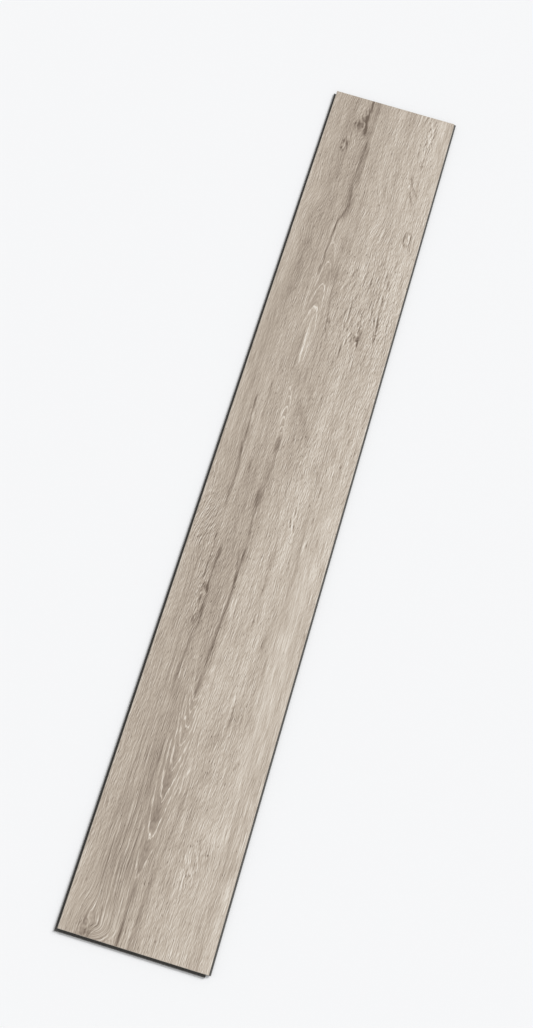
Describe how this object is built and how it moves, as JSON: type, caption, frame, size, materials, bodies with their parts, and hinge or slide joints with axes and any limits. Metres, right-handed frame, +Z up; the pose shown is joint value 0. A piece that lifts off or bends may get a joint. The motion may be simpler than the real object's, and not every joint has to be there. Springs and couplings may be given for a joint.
{
  "type": "stone plastic composite plank",
  "caption": "Rigid floor plank with a greige oak decor face and milled click edges: tongue and slot along the sides, hooked drop lock at the ends.",
  "frame": {"origin": "on the underside, midway between the joint lines of the decor face", "axes": "+X across the plank towards its tongue, +Y along the plank towards its drop-in end, +Z up through the decor face"},
  "size_m": [0.1858, 1.2237, 0.005],
  "materials": {
    "plank": "embossed greige oak print on the face, dark grey mineral-filled core on edges and underside"
  },
  "bodies": {
    "root": {"plank": "plank"}
  },
  "joints": []
}
